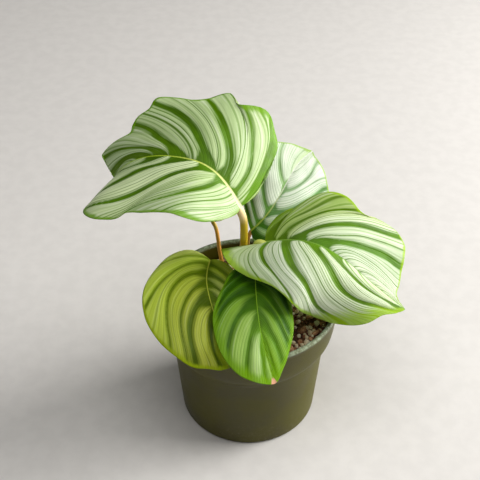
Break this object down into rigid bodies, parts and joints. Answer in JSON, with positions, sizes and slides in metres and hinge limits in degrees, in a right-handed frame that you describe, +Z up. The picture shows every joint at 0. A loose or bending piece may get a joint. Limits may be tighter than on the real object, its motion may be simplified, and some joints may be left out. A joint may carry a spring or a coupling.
{
  "type": "potted calathea",
  "caption": "Calathea plant with broad wavy silver-banded round leaves on slim stalks, in a round tapered plastic nursery pot filled with potting mix.",
  "frame": {"origin": "centre of the pot's flat underside, on the surface that the pot stands on", "axes": "+Z up along the pot's axis, +X to the right and -Y to the front as the picture shows it"},
  "size_m": [0.1938, 0.1431, 0.1956],
  "materials": {
    "leaf_striped": "satin",
    "leaf_yellow_green": "satin",
    "leaf_deep_green": "glossy",
    "leaf_silvery": "satin",
    "potting_mix": "matt, coarse",
    "pot_plastic": "satin moulded plastic"
  },
  "bodies": {
    "root": {"leaf_upper_left": "leaf_striped", "leaf_right": "leaf_striped", "leaf_lower_left": "leaf_yellow_green", "leaf_front": "leaf_deep_green", "leaf_rear_right": "leaf_silvery", "leaf_rear_left": "leaf_striped", "soil": "potting_mix", "pot": "pot_plastic"}
  },
  "joints": []
}
